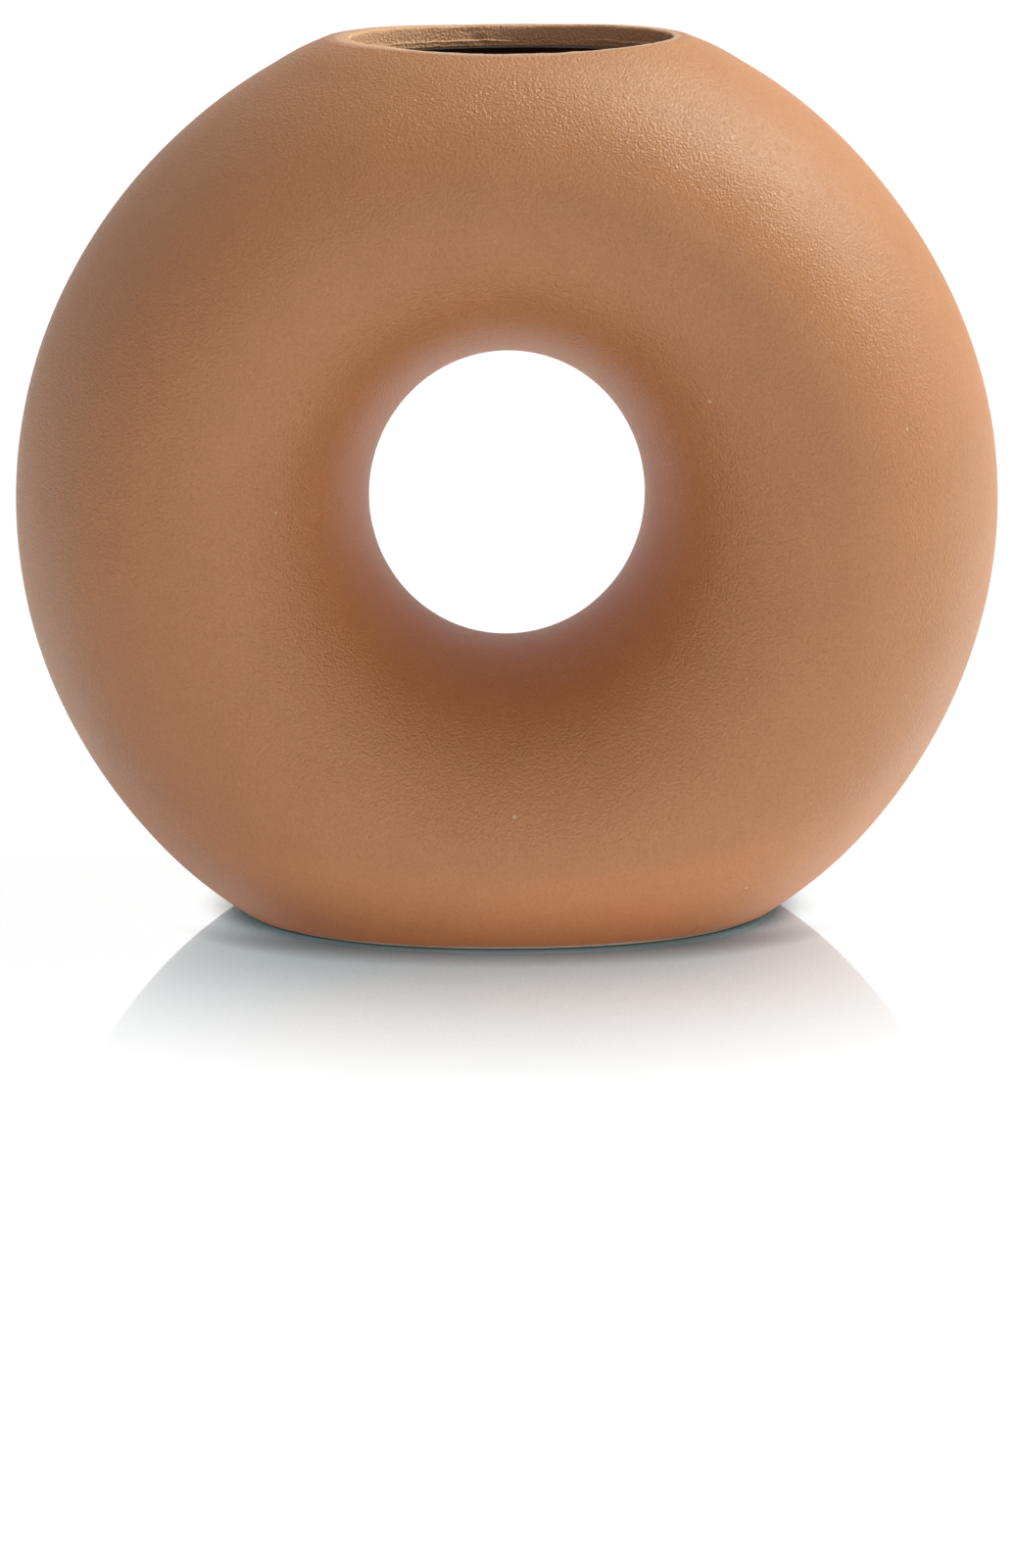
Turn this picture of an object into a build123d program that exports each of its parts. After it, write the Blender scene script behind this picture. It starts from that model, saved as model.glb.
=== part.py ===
from build123d import *
import os
from math import cos, radians, sin, sqrt

# Donut vase: a hollow stoneware ring that stands on edge, open at the top and closed by a flat foot.
#
# The ring is a tube of oval section, bent into a loop that is a little taller than it is wide. A flat cut
# across its top leaves the oval mouth, and a flat cut across its bottom the foot. Three layers make the
# wall: the cast clay body, the glaze sprayed on its outside, and the liner glaze poured inside it.
#
# Frame: +Z up, X along the width, Y along the depth. The origin is on the table under the ring's centre.
# Sizes are in millimetres.

# The ring, measured on the outside of its glaze.
ring_width = 270.0
tube_thickness = 96.0
tube_depth = 114.0
hole_rise = 3.4
mouth_cut = 9.2
foot_cut = 21.2

# The layers of its wall.
clay_wall = 5.4
outer_glaze_thickness = 0.45
liner_glaze_thickness = 0.3

# The mouth, cut straight down through the wall inside a narrow rounded lip.
lip_width = 1.6
lip_end_width = 4.6
bead_stand_out = 0.4
bead_height = 1.4

# The foot: a bare ring of clay round a shallow recess.
foot_round = 2.4
foot_ring_width = 9.0
foot_recess = 1.8
dry_foot_height = 1.1
floor_round = 5.0

# Roundings, as shares of what carries them.
lip_outer_round_share = 0.95
lip_inner_round_share = 0.6
bead_round_share = 0.8
recess_round_share = 0.6

# The centre line of the tube is a loop of four tangent arcs, each a quarter turn.
quarter_turn = 90.0
tube_half = tube_thickness / 2
hole_width = ring_width - 2 * tube_thickness
hole_height = hole_width + hole_rise
path_half_width = (hole_width + tube_thickness) / 2
path_half_height = (hole_height + tube_thickness) / 2
arc_offset = (path_half_height - path_half_width) / (2 - sqrt(2))
end_arc_radius = path_half_height - arc_offset
side_arc_radius = path_half_width + arc_offset

# Heights above the table.
ring_centre = path_half_height + tube_half - foot_cut
path_top = ring_centre + path_half_height
vase_height = path_top + tube_half - mouth_cut
inside_floor = foot_recess + clay_wall
overrun = tube_half


def half_length_at(height, inset):
    """Half the ring's length along X where a level plane cuts its end arc, this far inside the glaze."""
    rise = abs(height - ring_centre) - arc_offset
    return sqrt((end_arc_radius + tube_half - inset) ** 2 - rise**2)


def half_depth_at(height, inset):
    """Half the ring's depth along Y where a level plane cuts its end arc, this far inside the glaze."""
    rise = abs(height - ring_centre) - path_half_height
    return (tube_depth / 2 - inset) * sqrt(1 - (rise / (tube_half - inset)) ** 2)


# The mouth's oval, inside its glaze, and the level at which the wall below the lip opens into the hollow.
mouth_half_length = half_length_at(vase_height, 0) - lip_end_width
mouth_half_depth = half_depth_at(vase_height, 0) - lip_width
hollow_inset = outer_glaze_thickness + clay_wall
end_root = ring_centre + arc_offset + sqrt(
    (end_arc_radius + tube_half - hollow_inset) ** 2 - (mouth_half_length + outer_glaze_thickness) ** 2
)
side_share = (mouth_half_depth + outer_glaze_thickness) / (tube_depth / 2 - hollow_inset)
side_root = path_top + (tube_half - hollow_inset) * sqrt(1 - side_share**2)
neck_root = max(end_root, side_root)
lip_outer_round = lip_outer_round_share * lip_width
lip_inner_round = lip_inner_round_share * lip_width

# The foot's oval, in the clay.
foot_half_length = half_length_at(0, outer_glaze_thickness)
foot_half_depth = half_depth_at(0, outer_glaze_thickness)


def ring_tube(inset):
    """Make the closed loop of tube whose surface lies this far inside the outside of the glaze."""
    arcs = [
        # The direction of the arc's middle, its radius, and its centre's distance from the ring's centre.
        (0.0, side_arc_radius, -arc_offset),
        (quarter_turn, end_arc_radius, arc_offset),
        (2 * quarter_turn, side_arc_radius, -arc_offset),
        (3 * quarter_turn, end_arc_radius, arc_offset),
    ]
    with BuildPart() as tube:
        for direction, arc_radius, offset in arcs:
            middle = radians(direction)
            start = radians(direction - quarter_turn / 2)
            arc_centre = Vector(offset * cos(middle), 0, ring_centre + offset * sin(middle))
            outward = Vector(cos(start), 0, sin(start))
            along = Vector(-sin(start), 0, cos(start))
            with BuildSketch(Plane(arc_centre + outward * arc_radius, -outward, along)) as section:
                Ellipse(tube_half - inset, tube_depth / 2 - inset)
            revolve(section.sketch, axis=Axis(arc_centre, (0, -1, 0)), revolution_arc=quarter_turn)
    return tube.part


def cut_ring(inset):
    """Make the solid ring this far inside the glaze, cut flat at lip and foot, with both edges rounded."""
    with BuildPart() as ring:
        add(ring_tube(inset))
        split(bisect_by=Plane.XY.offset(inset - outer_glaze_thickness), keep=Keep.TOP)
        split(bisect_by=Plane.XY.offset(vase_height - inset), keep=Keep.BOTTOM)
        fillet(ring.edges().group_by(Axis.Z)[0], foot_round + outer_glaze_thickness - inset)
        fillet(ring.edges().group_by(Axis.Z)[-1], lip_outer_round - inset)
    return ring.part


def hollow(inset, floor_height, corner):
    """Make the inside of the ring this far inside the glaze, on a level floor with a rounded corner."""
    with BuildPart() as inside:
        add(ring_tube(inset))
        split(bisect_by=Plane.XY.offset(floor_height), keep=Keep.TOP)
        fillet(inside.edges().group_by(Axis.Z)[0], corner)
    return inside.part


def mouth_plug(inset, root, top):
    """Make the upright oval plug that fills the mouth between two levels."""
    with BuildPart() as plug:
        with BuildSketch(Plane.XY.offset(root)):
            Ellipse(mouth_half_length + inset, mouth_half_depth + inset)
        extrude(amount=top - root)
    return plug.part


def mouth_cutter(inset, root):
    """Make the plug of the mouth under a slab, with the corner between them rounded as the lip's inside is."""
    lip_level = vase_height - inset
    with BuildPart() as cutter:
        with BuildSketch(Plane.XY.offset(lip_level)):
            Rectangle(ring_width, tube_depth)
        extrude(amount=overrun)
        add(mouth_plug(inset, root, lip_level))
        lip_edge = cutter.edges().filter_by(GeomType.ELLIPSE).sort_by(Axis.Z)[-1]
        fillet(lip_edge, lip_inner_round - inset)
    return cutter.part


# The forms that the layers share.
clay_ring = cut_ring(outer_glaze_thickness)
hollow_form = hollow(hollow_inset, inside_floor, floor_round)

# Foot recess: the shallow oval dish that leaves a ring of clay to stand on.
with BuildPart() as recess:
    with BuildSketch(Plane.XY):
        Ellipse(foot_half_length - foot_ring_width, foot_half_depth - foot_ring_width)
    extrude(amount=foot_recess)
    fillet(recess.faces().sort_by(Axis.Z)[-1].edges(), recess_round_share * foot_recess)

# Clay body: the cast shell, open at the mouth and recessed under the foot.
with BuildPart() as clay_body:
    add(clay_ring)
    add(mouth_cutter(outer_glaze_thickness, path_top), mode=Mode.SUBTRACT)
    add(hollow_form, mode=Mode.SUBTRACT)
    add(recess.part, mode=Mode.SUBTRACT)

# Outer glaze: the textured skin, over the lip to a bead inside the mouth, and short of the table.
with BuildPart() as covered_clay:
    add(clay_ring)
    add(mouth_cutter(outer_glaze_thickness, neck_root), mode=Mode.SUBTRACT)
with BuildPart() as outer_glaze:
    add(cut_ring(0))
    add(mouth_cutter(0, neck_root), mode=Mode.SUBTRACT)
    add(covered_clay.part, mode=Mode.SUBTRACT)
    split(bisect_by=Plane.XY.offset(dry_foot_height), keep=Keep.TOP)
    with BuildSketch(Plane.XY.offset(neck_root)):
        Ellipse(mouth_half_length + outer_glaze_thickness, mouth_half_depth + outer_glaze_thickness)
        Ellipse(mouth_half_length - bead_stand_out, mouth_half_depth - bead_stand_out, mode=Mode.SUBTRACT)
    extrude(amount=bead_height)
    bead_edges = outer_glaze.edges(Select.LAST).filter_by(GeomType.ELLIPSE).sort_by(SortBy.LENGTH)[:2]
    fillet(bead_edges, bead_round_share * bead_stand_out)

# Liner glaze: the thin waterproof skin of the hollow, which ends at the foot of the mouth's wall.
liner_corner = floor_round - liner_glaze_thickness
with BuildPart() as liner_glaze:
    add(hollow_form)
    add(
        hollow(hollow_inset + liner_glaze_thickness, inside_floor + liner_glaze_thickness, liner_corner),
        mode=Mode.SUBTRACT,
    )
    add(mouth_plug(outer_glaze_thickness, path_top, vase_height + overrun), mode=Mode.SUBTRACT)

os.makedirs("parts", exist_ok=True)
clay_body.part.label = "clay_body"
outer_glaze.part.label = "outer_glaze"
liner_glaze.part.label = "liner_glaze"
export_step(clay_body.part, "parts/clay_body.step")
export_step(outer_glaze.part, "parts/outer_glaze.step")
export_step(liner_glaze.part, "parts/liner_glaze.step")
print(f"vase {ring_width:.1f} wide, {tube_depth:.1f} deep, {vase_height:.1f} high")
print(f"hole {hole_width:.1f} wide, {hole_height:.1f} high, its centre {ring_centre:.1f} above the table")
print(f"mouth {2 * mouth_half_length:.1f} by {2 * mouth_half_depth:.1f}, its wall from {neck_root:.1f} up")
print(f"foot {2 * foot_half_length:.1f} by {2 * foot_half_depth:.1f}, inside floor at {inside_floor:.1f}")
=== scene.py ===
import logging
from dataclasses import dataclass
from enum import Enum
from functools import partial
from math import atan2, copysign, cos, exp, hypot, pi, radians, sin, sqrt
from typing import Callable

import bmesh
import bpy
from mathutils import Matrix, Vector, noise


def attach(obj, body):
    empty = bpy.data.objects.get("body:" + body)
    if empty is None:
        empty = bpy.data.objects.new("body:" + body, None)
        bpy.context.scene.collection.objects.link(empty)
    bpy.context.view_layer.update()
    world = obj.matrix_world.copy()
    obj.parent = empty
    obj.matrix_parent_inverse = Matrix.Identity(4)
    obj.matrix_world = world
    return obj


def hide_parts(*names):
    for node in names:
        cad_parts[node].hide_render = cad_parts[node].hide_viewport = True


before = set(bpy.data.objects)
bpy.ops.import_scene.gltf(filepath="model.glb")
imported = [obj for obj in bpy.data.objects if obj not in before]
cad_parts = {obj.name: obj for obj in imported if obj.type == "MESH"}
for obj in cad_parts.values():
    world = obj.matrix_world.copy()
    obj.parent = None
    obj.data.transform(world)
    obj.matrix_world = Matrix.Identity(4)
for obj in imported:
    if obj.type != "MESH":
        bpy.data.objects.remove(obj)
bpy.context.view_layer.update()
log = logging.getLogger("donut_vase")

# Sizes are in metres. Levels are heights above the table top, and insets are depths below the glaze's face.
Place = Callable[["Column"], Vector]
Span = tuple[float, float]
Colour = tuple[float, float, float, float]
Node, NodeTree, Socket = bpy.types.Node, bpy.types.NodeTree, bpy.types.NodeSocket
Material, Object = bpy.types.Material, bpy.types.Object
Linkable = Socket | float | tuple
Feeds = dict[str | int, Linkable]

BLACK: Colour = (0.0, 0.0, 0.0, 1.0)
WHITE: Colour = (1.0, 1.0, 1.0, 1.0)
MM_PER_METRE = 1000
# Blender takes the offset of its vector noise from the clock unless it is given a seed.
NOISE_SEED = 7
# Corners are put in order along a slanting way, on which no two of them lie level.
SORT_Y, SORT_Z = 0.7, 0.3


class Part(Enum):
    """The two flat ends that cut the ring."""

    LIP = 1
    FOOT = -1


class LampRole(Enum):
    """What each lamp of the studio is for."""

    KEY = "key_softbox"
    SIDE = "side_softbox"
    FRONT = "front_softbox"
    LOW = "low_softbox"
    FILL = "fill_softbox"


def ease(value: float, low: float, high: float) -> float:
    """Return 0 below low, 1 above high, and a smooth rise between them.

    Args:
        value: What is measured.
        low: Where the rise starts.
        high: Where the rise ends.

    Returns:
        The share of the rise.
    """
    share = min(max((value - low) / (high - low), 0.0), 1.0)
    return share * share * (3 - 2 * share)


@dataclass(frozen=True)
class Column:
    """One upright line of corners round the mouth or the foot.

    Its share runs from 0 at the middle of the ring's front or back to 1 at its two ends.
    """

    share: float
    side_x: float
    side_y: float


@dataclass(frozen=True)
class RingForm:
    """The ring as the potter left it: a tube of oval section round an oval loop."""

    half_width: float = 0.13490
    half_height: float = 0.1367
    hole_half_width: float = 0.03800
    hole_half_height: float = 0.0410
    half_depth: float = 0.0569
    centre_height: float = 0.1151
    hole_height: float = 0.11655
    lip_height: float = 0.2425
    lip_band: float = 0.0050
    mouth_half_length: float = 0.0438
    mouth_half_depth: float = 0.0320
    mouth_power: float = 1.92
    mouth_shift: float = 0.0011
    lip_tilt: float = 0.0040
    tilted_levels: Span = (0.200, 0.238)
    lip_sag: float = 0.0007
    sagged_levels: Span = (0.2345, 0.2410)
    sagged_reach: Span = (0.008, 0.040)
    foot_spread: float = 0.045
    spread_levels: Span = (0.0, 0.070)
    dent: float = 0.00015
    dents_per_metre: float = 17.0
    firm_foot: Span = (0.0, 0.022)
    firm_lip: Span = (0.2365, 0.2415)
    # The waves round the outline: how many, and how high in their cosine and their sine.
    swells: tuple[tuple[int, float, float], ...] = (
        (3, -0.00002, -0.00040), (4, 0.00008, -0.00004), (5, 0.00004, 0.00016), (6, 0.00028, 0.00003),
        (8, -0.00010, 0.0),
    )

    def bend(self, across: float, along: float, turn: float, inset: float) -> Vector:
        """Place a point of the tube by its place in the section and its angle round the ring."""
        reach_x, reach_z, centre = self.loop(across, inset)
        return Vector((reach_x * cos(turn), (self.half_depth - inset) * along, centre + reach_z * sin(turn)))

    def loop(self, across: float, inset: float) -> tuple[float, float, float]:
        """Give the loop that runs round the ring at one place of the tube's section.

        Args:
            across: From -1 at the hole to 1 at the outline.
            inset: How far the loop lies inside the glaze.

        Returns:
            Its half width, its half height and the height of its centre.
        """
        outer_x, outer_z = self.half_width - inset, self.half_height - inset
        inner_x, inner_z = self.hole_half_width + inset, self.hole_half_height + inset
        high, low = self.centre_height, self.hole_height
        return (
            (outer_x + inner_x) / 2 + (outer_x - inner_x) / 2 * across,
            (outer_z + inner_z) / 2 + (outer_z - inner_z) / 2 * across,
            (high + low) / 2 + (high - low) / 2 * across,
        )

    def column_at(self, point: Vector, inset: float) -> Column:
        """Name the column of a corner that lies on the tube's surface near the lip or the foot.

        Args:
            point: The corner.
            inset: How far the surface lies inside the glaze.

        Returns:
            The column.
        """
        least = self.least_across(point.z, inset)
        across = sqrt(max(1 - (point.y / (self.half_depth - inset)) ** 2, 0.0))
        share = min(max((across - least) / (1 - least), 0.0), 1.0)
        return Column(share, copysign(1.0, point.x), copysign(1.0, point.y))

    def least_across(self, height: float, inset: float) -> float:
        """Find how far across the tube a level plane cuts it over the ring's centre line.

        Args:
            height: The plane's level.
            inset: How far the tube's surface lies inside the glaze.

        Returns:
            The place across, from -1 at the hole to 1 at the outline.
        """
        side = 1 if height > self.hole_height else -1
        _, inner, low = self.loop(-1.0, inset)
        _, outer, high = self.loop(1.0, inset)
        near, far = low + side * inner, high + side * outer
        return 2 * (height - near) / (far - near) - 1

    def surface(self, column: Column, height: float, inset: float) -> Vector:
        """Place a column's corner on the tube's surface.

        Args:
            column: The column.
            height: The corner's level.
            inset: How far the surface lies inside the glaze.

        Returns:
            The corner.
        """
        least = self.least_across(height, inset)
        across = least + (1 - least) * column.share
        reach_x, reach_z, centre = self.loop(across, inset)
        rise = (height - centre) / reach_z
        return Vector((
            column.side_x * reach_x * sqrt(max(1 - rise * rise, 0.0)),
            column.side_y * (self.half_depth - inset) * sqrt(max(1 - across * across, 0.0)),
            height,
        ))

    def half_spans(self, height: float, inset: float) -> Span:
        """Measure half the length and half the depth of the oval in which a level plane cuts the ring."""
        end, side = Column(1.0, 1.0, 1.0), Column(0.0, 1.0, 1.0)
        return self.surface(end, height, inset).x, self.surface(side, height, inset).y

    def mouth(self, column: Column, out: float, drop: float) -> Vector:
        """Place a column's corner by the mouth's opening.

        Args:
            column: The column.
            out: How far outside the opening the corner lies.
            drop: How far it lies below the lip.

        Returns:
            The corner.
        """
        edge = self.surface(column, self.lip_height, 0.0)
        ends, sides = self.half_spans(self.lip_height, 0.0)
        angle = atan2(edge.y / sides, edge.x / ends)
        power = 2 / self.mouth_power
        return Vector((
            self.mouth_shift + copysign(abs(cos(angle)) ** power, edge.x) * (self.mouth_half_length + out),
            copysign(abs(sin(angle)) ** power, edge.y) * (self.mouth_half_depth + out),
            self.lip_height - drop,
        ))

    def foot(self, column: Column, height: float, inset: float, inward: float) -> Vector:
        """Place a column's corner under the foot, moved squarely in from the ring's surface.

        Args:
            column: The column.
            height: The corner's level.
            inset: How far the ring's surface lies inside the glaze.
            inward: How far in the corner is moved.

        Returns:
            The corner.
        """
        edge = self.surface(column, height, inset)
        ends, sides = self.half_spans(height, inset)
        outward = Vector((edge.x / ends**2, edge.y / sides**2, 0.0)).normalized()
        return edge - outward * inward

    def settle(self, point: Vector) -> Vector:
        """Move a point as the plaster, the drying and the kiln moved the real wall.

        Args:
            point: A point of the true form.

        Returns:
            The point on the slightly uneven vase.
        """
        level = point.z - self.centre_height
        reach = hypot(point.x, level) / self.half_width
        turn = atan2(level, point.x)
        swell = sum(wide * cos(waves * turn) + high * sin(waves * turn) for waves, wide, high in self.swells)
        moved = point + Vector((cos(turn), 0.0, sin(turn))) * (swell * reach**3)
        moved += noise.noise_vector(point * self.dents_per_metre) * self.dent
        moved.y *= 1 + self.foot_spread * (1 - ease(point.z, *self.spread_levels))
        free = ease(point.z, *self.firm_foot) * (1 - ease(point.z, *self.firm_lip))
        tilt = self.lip_tilt * point.x * ease(point.z, *self.tilted_levels)
        sag = self.lip_sag * ease(abs(point.x), *self.sagged_reach) * ease(point.z, *self.sagged_levels)
        return Vector((moved.x, moved.y, point.z + (moved.z - point.z) * free + tilt + sag))


def place_of(element: bmesh.types.BMVert | bmesh.types.BMEdge | bmesh.types.BMFace) -> float:
    """Give a corner, an edge or a face a number by its place, so that each run puts them in one order."""
    corners = [element] if isinstance(element, bmesh.types.BMVert) else element.verts
    return sum(vert.co.x + vert.co.y * SORT_Y + vert.co.z * SORT_Z for vert in corners) / len(corners)


class RingMesh:
    """A ring of tube that is cut at the lip and the foot and grown on from there, course by course."""

    SPIN_RADIUS = 3.0
    SEAM_GAP = 1e-5
    CUT_GAP = 1e-7
    LEVEL_GAP = 1e-6
    RIM_SPACING = 0.0007

    def __init__(self, form: RingForm, inset: float, turns: int, ribs: int) -> None:
        """Spin the tube.

        Args:
            form: The vase's form.
            inset: How far the tube's surface lies inside the glaze.
            turns: Steps round the ring.
            ribs: Steps round the tube.
        """
        self.form, self.inset = form, inset
        self.edges: list[bmesh.types.BMEdge] = []
        self.mesh = bmesh.new()
        self.columns = self.mesh.verts.layers.float_vector.new("column")
        bmesh.ops.create_circle(self.mesh, segments=ribs, radius=1.0, cap_ends=False)
        bmesh.ops.translate(self.mesh, verts=self.mesh.verts[:], vec=(self.SPIN_RADIUS, 0.0, 0.0))
        bmesh.ops.spin(
            self.mesh, geom=self.mesh.verts[:] + self.mesh.edges[:], cent=(0.0, 0.0, 0.0),
            axis=(0.0, 1.0, 0.0), dvec=(0.0, 0.0, 0.0), angle=2 * pi, steps=turns, use_merge=True,
            use_duplicate=False,
        )
        bmesh.ops.remove_doubles(self.mesh, verts=self.mesh.verts[:], dist=self.SEAM_GAP)
        for vert in self.mesh.verts:
            across = hypot(vert.co.x, vert.co.z) - self.SPIN_RADIUS
            vert.co = form.bend(across, vert.co.y, atan2(vert.co.z, vert.co.x), inset)

    def cut(self, part: Part, height: float) -> None:
        """Cut the ring level and take hold of the edge that the cut leaves.

        Args:
            part: Which end of the ring comes off.
            height: The level of the cut.
        """
        bmesh.ops.bisect_plane(
            self.mesh, geom=self.mesh.verts[:] + self.mesh.edges[:] + self.mesh.faces[:], dist=self.CUT_GAP,
            plane_co=(0.0, 0.0, height), plane_no=(0.0, 0.0, 1.0),
            clear_outer=part is Part.LIP, clear_inner=part is Part.FOOT,
        )
        rim = [vert for vert in self.mesh.verts if abs(vert.co.z - height) < self.LEVEL_GAP]
        bmesh.ops.remove_doubles(self.mesh, verts=sorted(rim, key=place_of), dist=self.RIM_SPACING)
        self.edges = [
            edge for edge in self.mesh.edges
            if edge.is_boundary and all(abs(vert.co.z - height) < self.LEVEL_GAP for vert in edge.verts)
        ]
        for vert in {vert for edge in self.edges for vert in edge.verts}:
            column = self.form.column_at(vert.co, self.inset)
            vert[self.columns] = Vector((column.share, column.side_x, column.side_y))
            vert.co = self.form.surface(column, height, self.inset)

    def grow(self, courses: list[Place]) -> None:
        """Grow courses of faces from the held edge, one after the other.

        Args:
            courses: For each course, the function that places the new corner of a column.
        """
        for place in courses:
            grown = bmesh.ops.extrude_edge_only(self.mesh, edges=self.edges)["geom"]
            corners = {item for item in grown if isinstance(item, bmesh.types.BMVert)}
            for vert in corners:
                vert.co = place(Column(*vert[self.columns]))
            self.edges = [
                item for item in grown
                if isinstance(item, bmesh.types.BMEdge) and all(vert in corners for vert in item.verts)
            ]

    def close(self) -> None:
        """Draw the held edge together into one point."""
        bmesh.ops.collapse(self.mesh, edges=self.edges, uvs=False)
        self.edges = []

    def finish(self, face_inward: bool = False) -> bmesh.types.BMesh:
        """Give the mesh its outward faces and its uneven, hand-finished form.

        Args:
            face_inward: True for a sheet that is seen from the hollow.

        Returns:
            The finished mesh.
        """
        self.mesh.verts.layers.float_vector.remove(self.columns)
        bmesh.ops.recalc_face_normals(self.mesh, faces=self.mesh.faces[:])
        if face_inward:
            bmesh.ops.reverse_faces(self.mesh, faces=self.mesh.faces[:])
        for vert in self.mesh.verts:
            vert.co = self.form.settle(vert.co)
        for face in self.mesh.faces:
            face.smooth = True
        return self.mesh


def add_mesh(name: str, mesh: bmesh.types.BMesh, material: Material) -> Object:
    """Add a finished mesh to the scene, with its corners and faces in the same order each run.

    Args:
        name: The object's name.
        mesh: Its mesh, which is freed.
        material: Its finish.

    Returns:
        The object.
    """
    for elements in (mesh.verts, mesh.edges, mesh.faces):
        elements.sort(key=place_of)
        elements.index_update()
    data = bpy.data.meshes.new(name)
    mesh.to_mesh(data)
    mesh.free()
    data.materials.append(material)
    item = bpy.data.objects.new(name, data)
    bpy.context.scene.collection.objects.link(item)
    return item


def thicken(piece: Object, thickness: float) -> None:
    """Give a sheet its thickness, grown back from the side that shows.

    Args:
        piece: The sheet.
        thickness: How thick it becomes.
    """
    wall = piece.modifiers.new("thickness", "SOLIDIFY")
    wall.thickness = thickness
    wall.offset = -1.0
    wall.use_even_offset = True
    wall.use_rim = True


def tell(piece: Object, wall: float) -> None:
    """Log the size of a piece's mesh and the thickness of its wall."""
    log.info("%s: %d corners, %.2f mm thick", piece.name, len(piece.data.vertices), wall * MM_PER_METRE)


@dataclass(frozen=True)
class OuterGlaze:
    """The tan glaze: the whole outside, over the lip and down the mouth's wall to a bead."""

    form: RingForm
    thickness: float = 0.00045
    turns: int = 240
    ribs: int = 96
    ring_drops: tuple[float, ...] = (0.0042, 0.0034, 0.0027, 0.0021, 0.0016, 0.0012, 0.0008, 0.0005, 0.0003)
    land_steps: tuple[Span, ...] = ((0.2, 0.00012), (0.45, 0.00003), (0.75, 0.0))
    lip_round: float = 0.0008
    lip_round_steps: int = 5
    lip_ripple: float = 0.00022
    wall_drops: tuple[float, ...] = (0.0012, 0.0017, 0.0023, 0.0029, 0.0034, 0.0038, 0.0041)
    wall_ripple: float = 0.00014
    bead: float = 0.00022
    bead_steps: int = 6
    bead_spacing: float = 0.00014
    bead_power: float = 1.5
    bead_ripple: float = 0.00040
    bead_least: float = 0.45
    bead_change: float = 1.1
    bead_changes_per_metre: float = 45.0
    root_drops: tuple[float, ...] = (0.0053, 0.0057, 0.0061)
    root_ripple: float = 0.0002
    ripple_aside: float = 0.6
    ripples_per_metre: float = 110.0
    fine_ripples_per_metre: float = 330.0
    fine_ripple_share: float = 0.7
    ripple_slice: float = 0.7
    bead_slice: float = 0.2
    crease_at: float = -0.0120
    crease_lean: float = 1.2
    crease_width: float = 0.0009
    crease_depth: float = 0.00045
    crease_slump: float = 0.25
    foot_cut: float = 0.0034
    dry_foot: float = 0.0010
    dry_tilt: float = 0.0030
    dry_ripple: float = 0.00020
    dry_ripples_per_metre: float = 60.0
    foot_steps: tuple[Span, ...] = (
        (0.0014, 0.0), (0.0008, 0.0), (0.0003, 0.0), (0.00008, 0.00006), (0.0, 0.0002),
    )

    def on_ring(self, column: Column, drop: float) -> Vector:
        """Place a corner on the ring's own surface, this far below the lip."""
        return self.form.surface(column, self.form.lip_height - drop, 0.0)

    def on_land(self, column: Column, share: float, drop: float) -> Vector:
        """Place a corner on the land of the lip.

        Args:
            column: The corner's column.
            share: How far it lies across the land, from 0 outside to 1 at the mouth.
            drop: How far it lies below the lip there.

        Returns:
            The corner.
        """
        last_drop = self.ring_drops[-1]
        rise = last_drop * (1 - share) - drop
        start = self.on_ring(column, last_drop)
        return start.lerp(self.form.mouth(column, self.lip_round, 0.0), share) + Vector((0, 0, rise))

    def ripple_at(self, spot: Vector) -> float:
        """Say how the lip and the wall ripple over a spot of the mouth's edge, from about -1 to 1."""
        wide = noise.noise(Vector((spot.x, spot.y, self.ripple_slice)) * self.ripples_per_metre)
        return wide + self.fine_ripple_share * noise.noise(spot * self.fine_ripples_per_metre)

    def in_mouth(self, column: Column, out: float, drop: float, ripple: float, bead: float = 0.0) -> Vector:
        """Place a corner on the mouth's wall, with its ripples, its bead and the one crease in its back.

        Args:
            column: The corner's column.
            out: How far outside the opening it lies.
            drop: How far below the lip.
            ripple: How high the ripples are.
            bead: How far the bead stands out.

        Returns:
            The corner.
        """
        spot = self.form.mouth(column, 0.0, 0.0)
        wave = self.ripple_at(spot) * ripple
        change = noise.noise(Vector((spot.x, spot.y, self.bead_slice)) * self.bead_changes_per_metre)
        ridge = bead * (self.bead_least + self.bead_change * change)
        aside = (spot.x - self.crease_at - drop * self.crease_lean) / self.crease_width
        crease = self.crease_depth * exp(-(aside**2)) if spot.y > 0 else 0.0
        slump = self.crease_slump * crease
        return self.form.mouth(column, out + wave * self.ripple_aside - ridge + crease, drop + wave + slump)

    def on_wall(self, drop: float, ripple: float, bead: float = 0.0) -> Place:
        """Return the function that places a course's corners on the mouth's upright wall."""
        return partial(self.in_mouth, out=0.0, drop=drop, ripple=ripple, bead=bead)

    def at_foot(self, column: Column, rise: float, inward: float) -> Vector:
        """Place a corner by the glaze's uneven lower edge.

        Args:
            column: The corner's column.
            rise: How far it lies above the edge.
            inward: How far it lies inside the ring's surface.

        Returns:
            The corner.
        """
        spot = self.form.surface(column, self.dry_foot, 0.0)
        ripple = self.dry_ripple * noise.noise(spot * self.dry_ripples_per_metre)
        uneven = self.dry_tilt * spot.x + ripple
        return self.form.foot(column, self.dry_foot + uneven + rise, 0.0, inward)

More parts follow.
